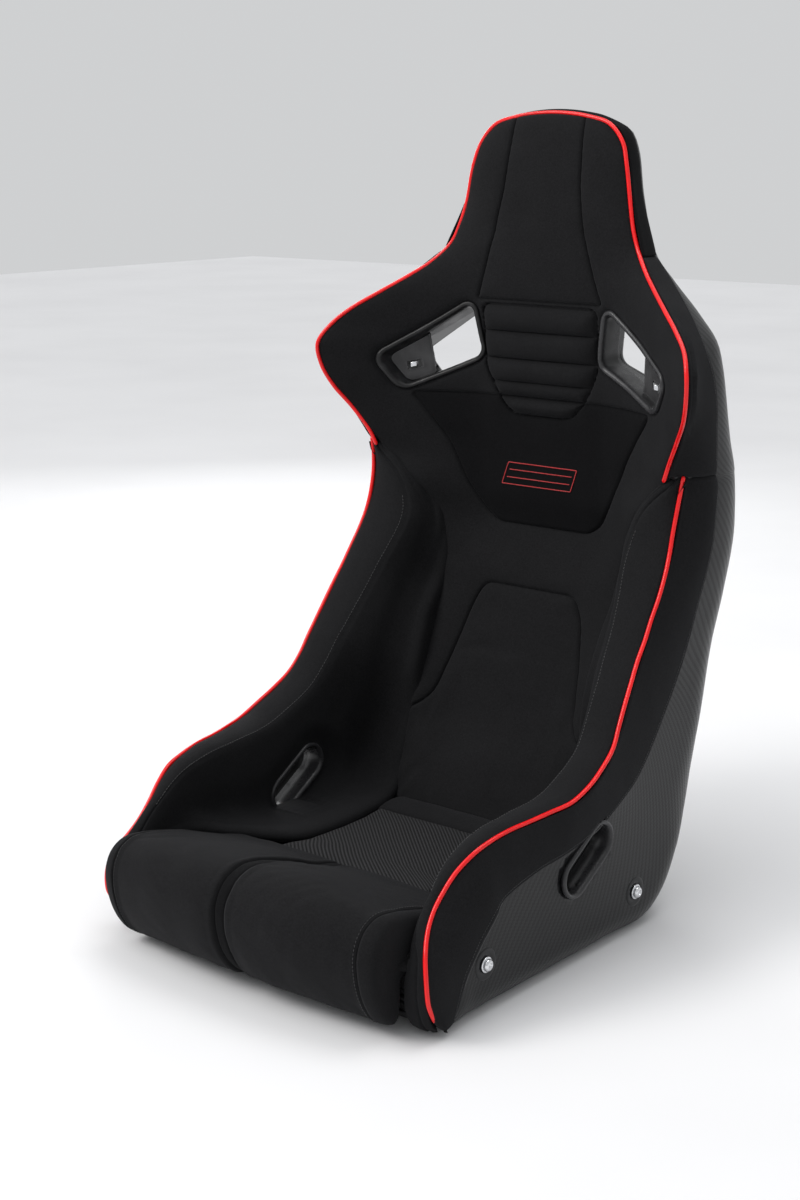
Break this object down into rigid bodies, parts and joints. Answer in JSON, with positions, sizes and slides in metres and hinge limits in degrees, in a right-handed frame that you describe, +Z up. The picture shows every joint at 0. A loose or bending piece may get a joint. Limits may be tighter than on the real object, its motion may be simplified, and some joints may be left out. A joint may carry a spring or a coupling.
{
  "type": "racing seat",
  "caption": "Fixed-back racing bucket seat with a moulded shell, cloth-covered bolsters, red piping, harness slots, side mounts and a lift-out base cushion.",
  "frame": {"origin": "on the flat underside, on the centre plane, midway between the front and rear side bolts", "axes": "+Z up, -Y towards the front of the seat, +X towards the seated person's left"},
  "size_m": [0.5632, 0.6859, 0.9552],
  "materials": {
    "shell_carbon": "clear-coated woven carbon look over glass fibre",
    "seat_cloth": "fine woven polyester with a soft sheen",
    "dark_cloth": "smoother, darker woven cloth",
    "grip_cloth": "ribbed non-slip weave",
    "foam": "open-cell polyurethane foam",
    "piping_red": "glossy vinyl-covered cord",
    "bezel_plastic": "satin moulded nylon",
    "bolt_chrome": "polished",
    "plate_steel": "zinc-plated",
    "hook_webbing": "hook-and-loop tape"
  },
  "bodies": {
    "seat": {"seat_shell": "shell_carbon", "bolster_left": "seat_cloth", "bolster_right": "seat_cloth", "side_cover_left": "seat_cloth", "side_cover_right": "seat_cloth", "shoulder_outer_cover_left": "seat_cloth", "shoulder_outer_cover_right": "seat_cloth", "headrest_center_panel": "seat_cloth", "ribbed_insert": "seat_cloth", "lumbar_panel": "seat_cloth", "back_frame_cover": "seat_cloth", "chest_panel": "dark_cloth", "head_outer_cover": "dark_cloth", "backrest_foam": "foam", "headrest_foam": "foam", "pan_foam": "foam", "head_piping": "piping_red", "bolster_piping_left": "piping_red", "bolster_piping_right": "piping_red", "shoulder_bezel_left": "bezel_plastic", "shoulder_bezel_right": "bezel_plastic", "shoulder_rear_bezel_left": "bezel_plastic", "shoulder_rear_bezel_right": "bezel_plastic", "slot_blanking_plate_left": "bezel_plastic", "slot_blanking_plate_right": "bezel_plastic", "lap_bezel_inner_left": "bezel_plastic", "lap_bezel_inner_right": "bezel_plastic", "lap_bezel_outer_left": "bezel_plastic", "lap_bezel_outer_right": "bezel_plastic", "mount_bolt_front_left": "bolt_chrome", "mount_bolt_front_right": "bolt_chrome", "mount_bolt_rear_left": "bolt_chrome", "mount_bolt_rear_right": "bolt_chrome", "mount_washer_front_left": "bolt_chrome", "mount_washer_front_right": "bolt_chrome", "mount_washer_rear_left": "bolt_chrome", "mount_washer_rear_right": "bolt_chrome", "side_mount_plate_left": "plate_steel", "side_mount_plate_right": "plate_steel", "threaded_insert_front_left": "plate_steel", "threaded_insert_front_right": "plate_steel", "threaded_insert_rear_left": "plate_steel", "threaded_insert_rear_right": "plate_steel", "hook_strip_left": "hook_webbing", "hook_strip_right": "hook_webbing"},
    "seat_cushion": {"seat_insert": "grip_cloth", "seat_rear_roll": "seat_cloth", "thigh_center_gusset": "dark_cloth", "thigh_pad_left": "seat_cloth", "thigh_pad_right": "seat_cloth", "thigh_gusset_left": "seat_cloth", "thigh_gusset_right": "seat_cloth"}
  },
  "joints": [
    {"name": "cushion_lift", "type": "slide", "parent": "seat", "child": "seat_cushion", "axis": [0, -0.5, 0.866], "range_m": [0, 0.3]}
  ]
}
